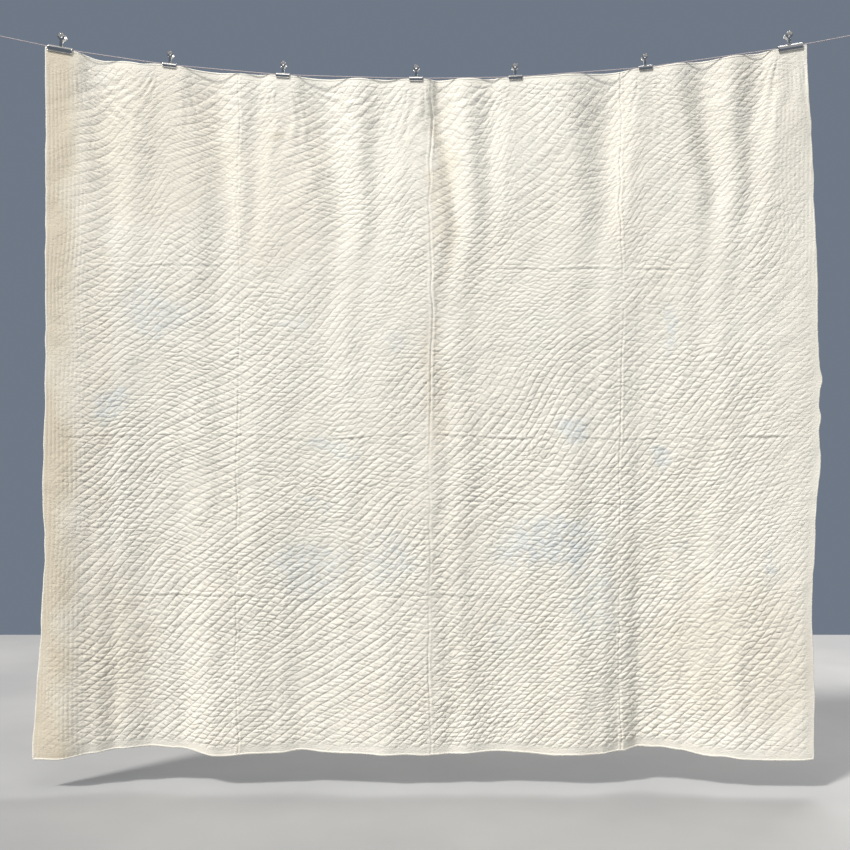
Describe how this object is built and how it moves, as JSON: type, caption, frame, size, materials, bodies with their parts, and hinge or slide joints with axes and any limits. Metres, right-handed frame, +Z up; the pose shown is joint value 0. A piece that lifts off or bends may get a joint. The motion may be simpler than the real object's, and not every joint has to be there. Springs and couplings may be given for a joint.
{
  "type": "quilt clipped to a taut line",
  "caption": "Whole-cloth quilt hung along its top edge by steel letter clips from a taut line between two wall plates.",
  "frame": {"origin": "centre of the left wall plate's back face, at the height of both eyes", "axes": "+X along the line from the left plate to the right plate, +Y to the back of the quilt, +Z up"},
  "size_m": [2.5954, 0.0777, 2.0661],
  "materials": {
    "zinc_steel": "zinc plated, satin",
    "screw_steel": "zinc plated",
    "ferrule_aluminium": "crimped, dull",
    "clip_nickel": "bright nickel plate, lightly worn",
    "line_cord": "laid synthetic cord, matt",
    "quilt_cotton": "washed cream cotton, hand quilted",
    "quilt_wadding": "cotton wadding",
    "quilt_backing_cotton": "washed cream cotton"
  },
  "bodies": {
    "wall_fixings": {"left_wall_plate": "zinc_steel", "right_wall_plate": "zinc_steel", "left_screw_upper": "screw_steel", "left_screw_lower": "screw_steel", "right_screw_upper": "screw_steel", "right_screw_lower": "screw_steel"},
    "hanging": {"hanging_line": "line_cord", "left_thimble": "zinc_steel", "right_thimble": "zinc_steel", "left_ferrule": "ferrule_aluminium", "right_ferrule": "ferrule_aluminium", "quilt_face": "quilt_cotton", "quilt_wadding": "quilt_wadding", "quilt_backing": "quilt_backing_cotton", "clip_1_spring": "clip_nickel", "clip_2_spring": "clip_nickel", "clip_3_spring": "clip_nickel", "clip_4_spring": "clip_nickel", "clip_5_spring": "clip_nickel", "clip_6_spring": "clip_nickel", "clip_7_spring": "clip_nickel"},
    "clip_1_front_lever": {"clip_1_front_lever": "clip_nickel"},
    "clip_1_rear_lever": {"clip_1_rear_lever": "clip_nickel"},
    "clip_2_front_lever": {"clip_2_front_lever": "clip_nickel"},
    "clip_2_rear_lever": {"clip_2_rear_lever": "clip_nickel"},
    "clip_3_front_lever": {"clip_3_front_lever": "clip_nickel"},
    "clip_3_rear_lever": {"clip_3_rear_lever": "clip_nickel"},
    "clip_4_front_lever": {"clip_4_front_lever": "clip_nickel"},
    "clip_4_rear_lever": {"clip_4_rear_lever": "clip_nickel"},
    "clip_5_front_lever": {"clip_5_front_lever": "clip_nickel"},
    "clip_5_rear_lever": {"clip_5_rear_lever": "clip_nickel"},
    "clip_6_front_lever": {"clip_6_front_lever": "clip_nickel"},
    "clip_6_rear_lever": {"clip_6_rear_lever": "clip_nickel"},
    "clip_7_front_lever": {"clip_7_front_lever": "clip_nickel"},
    "clip_7_rear_lever": {"clip_7_rear_lever": "clip_nickel"}
  },
  "joints": [
    {"name": "quilt_swing", "type": "hinge", "parent": "wall_fixings", "child": "hanging", "pos_m": [1.27, 0, 0], "axis": [1, 0, 0], "range_deg": [-20, 20]},
    {"name": "clip_1_front_jaw", "type": "hinge", "parent": "hanging", "child": "clip_1_front_lever", "pos_m": [0.25015, -0.0012, -0.0406], "axis": [-0.9843, 0, 0.1764], "range_deg": [0, 16], "stiffness_Nm_per_rad": 0.1, "springref_deg": -17.19, "deforming": ["clip_1_spring"]},
    {"name": "clip_1_rear_jaw", "type": "hinge", "parent": "hanging", "child": "clip_1_rear_lever", "pos_m": [0.25015, 0.0012, -0.0406], "axis": [0.9843, 0, -0.1764], "range_deg": [0, 16], "stiffness_Nm_per_rad": 0.1, "springref_deg": -17.19},
    {"name": "clip_2_front_jaw", "type": "hinge", "parent": "hanging", "child": "clip_2_front_lever", "pos_m": [0.55558, -0.0012, -0.08703], "axis": [-0.9931, 0, 0.1169], "range_deg": [0, 16], "stiffness_Nm_per_rad": 0.1, "springref_deg": -17.19, "deforming": ["clip_2_spring"]},
    {"name": "clip_2_rear_jaw", "type": "hinge", "parent": "hanging", "child": "clip_2_rear_lever", "pos_m": [0.55558, 0.0012, -0.08703], "axis": [0.9931, 0, -0.1169], "range_deg": [0, 16], "stiffness_Nm_per_rad": 0.1, "springref_deg": -17.19},
    {"name": "clip_3_front_jaw", "type": "hinge", "parent": "hanging", "child": "clip_3_front_lever", "pos_m": [0.87229, -0.0012, -0.11501], "axis": [-0.9983, 0, 0.0575], "range_deg": [0, 16], "stiffness_Nm_per_rad": 0.1, "springref_deg": -17.19, "deforming": ["clip_3_spring"]},
    {"name": "clip_3_rear_jaw", "type": "hinge", "parent": "hanging", "child": "clip_3_rear_lever", "pos_m": [0.87229, 0.0012, -0.11501], "axis": [0.9983, 0, -0.0575], "range_deg": [0, 16], "stiffness_Nm_per_rad": 0.1, "springref_deg": -17.19},
    {"name": "clip_4_front_jaw", "type": "hinge", "parent": "hanging", "child": "clip_4_front_lever", "pos_m": [1.24503, -0.0012, -0.125], "axis": [-1, 0, 0.0062], "range_deg": [0, 16], "stiffness_Nm_per_rad": 0.1, "springref_deg": -17.19, "deforming": ["clip_4_spring"]},
    {"name": "clip_4_rear_jaw", "type": "hinge", "parent": "hanging", "child": "clip_4_rear_lever", "pos_m": [1.24503, 0.0012, -0.125], "axis": [1, 0, -0.0062], "range_deg": [0, 16], "stiffness_Nm_per_rad": 0.1, "springref_deg": -17.19},
    {"name": "clip_5_front_jaw", "type": "hinge", "parent": "hanging", "child": "clip_5_front_lever", "pos_m": [1.52278, -0.0012, -0.12101], "axis": [-0.999, 0, -0.0442], "range_deg": [0, 16], "stiffness_Nm_per_rad": 0.1, "springref_deg": -17.19, "deforming": ["clip_5_spring"]},
    {"name": "clip_5_rear_jaw", "type": "hinge", "parent": "hanging", "child": "clip_5_rear_lever", "pos_m": [1.52278, 0.0012, -0.12101], "axis": [0.999, 0, 0.0442], "range_deg": [0, 16], "stiffness_Nm_per_rad": 0.1, "springref_deg": -17.19},
    {"name": "clip_6_front_jaw", "type": "hinge", "parent": "hanging", "child": "clip_6_front_lever", "pos_m": [1.88647, -0.0012, -0.09403], "axis": [-0.9943, 0, -0.1068], "range_deg": [0, 16], "stiffness_Nm_per_rad": 0.1, "springref_deg": -17.19, "deforming": ["clip_6_spring"]},
    {"name": "clip_6_rear_jaw", "type": "hinge", "parent": "hanging", "child": "clip_6_rear_lever", "pos_m": [1.88647, 0.0012, -0.09403], "axis": [0.9943, 0, 0.1068], "range_deg": [0, 16], "stiffness_Nm_per_rad": 0.1, "springref_deg": -17.19},
    {"name": "clip_7_front_jaw", "type": "hinge", "parent": "hanging", "child": "clip_7_front_lever", "pos_m": [2.29094, -0.0012, -0.03559], "axis": [-0.9866, 0, -0.1631], "range_deg": [0, 16], "stiffness_Nm_per_rad": 0.1, "springref_deg": -17.19, "deforming": ["clip_7_spring"]},
    {"name": "clip_7_rear_jaw", "type": "hinge", "parent": "hanging", "child": "clip_7_rear_lever", "pos_m": [2.29094, 0.0012, -0.03559], "axis": [0.9866, 0, 0.1631], "range_deg": [0, 16], "stiffness_Nm_per_rad": 0.1, "springref_deg": -17.19}
  ],
  "couplings": [
    {"joint": "clip_1_rear_jaw", "follows": "clip_1_front_jaw", "ratio": 1},
    {"joint": "clip_2_rear_jaw", "follows": "clip_2_front_jaw", "ratio": 1},
    {"joint": "clip_3_rear_jaw", "follows": "clip_3_front_jaw", "ratio": 1},
    {"joint": "clip_4_rear_jaw", "follows": "clip_4_front_jaw", "ratio": 1},
    {"joint": "clip_5_rear_jaw", "follows": "clip_5_front_jaw", "ratio": 1},
    {"joint": "clip_6_rear_jaw", "follows": "clip_6_front_jaw", "ratio": 1},
    {"joint": "clip_7_rear_jaw", "follows": "clip_7_front_jaw", "ratio": 1}
  ]
}
